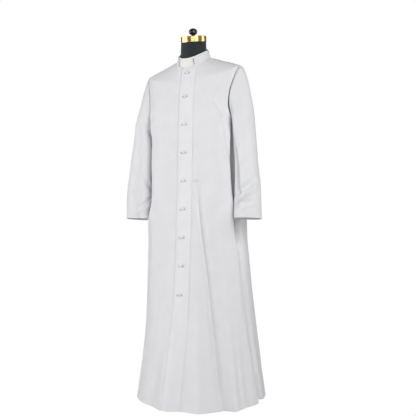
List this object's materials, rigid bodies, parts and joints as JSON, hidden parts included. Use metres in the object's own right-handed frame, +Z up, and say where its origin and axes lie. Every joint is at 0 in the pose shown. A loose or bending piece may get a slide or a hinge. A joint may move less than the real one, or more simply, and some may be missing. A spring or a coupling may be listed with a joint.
{
  "type": "cassock on a dress form",
  "caption": "Ankle-length white cassock with stand collar and collar insert, set-in sleeves and covered front buttons, on a limbless dress form with a round-based stand.",
  "frame": {"origin": "centre of the base's underside, under the pole", "axes": "+Z up along the pole; the cassock faces -Y, so the wearer's left is +X"},
  "size_m": [0.648, 0.564, 1.6037],
  "materials": {
    "cassock_cloth": "fine twill suiting with a soft sheen",
    "insert_cloth": "stiff smooth creamy white cloth",
    "black_jersey": "taut black jersey cover",
    "gold_cap": "polished gold-coloured metal",
    "black_knob": "glossy black",
    "pole_metal": "bright tube",
    "base_metal": "satin black paint"
  },
  "bodies": {
    "root": {"front_left": "cassock_cloth", "front_right": "cassock_cloth", "front_band": "cassock_cloth", "back": "cassock_cloth", "sleeve_left_top": "cassock_cloth", "sleeve_left_under": "cassock_cloth", "sleeve_right_top": "cassock_cloth", "sleeve_right_under": "cassock_cloth", "collar": "cassock_cloth", "button_1": "cassock_cloth", "button_2": "cassock_cloth", "button_3": "cassock_cloth", "button_4": "cassock_cloth", "button_5": "cassock_cloth", "button_6": "cassock_cloth", "button_7": "cassock_cloth", "button_8": "cassock_cloth", "button_9": "cassock_cloth", "collar_insert": "insert_cloth", "form_torso": "black_jersey", "neck_cap": "gold_cap", "knob": "black_knob", "pole": "pole_metal", "base": "base_metal"}
  },
  "joints": []
}
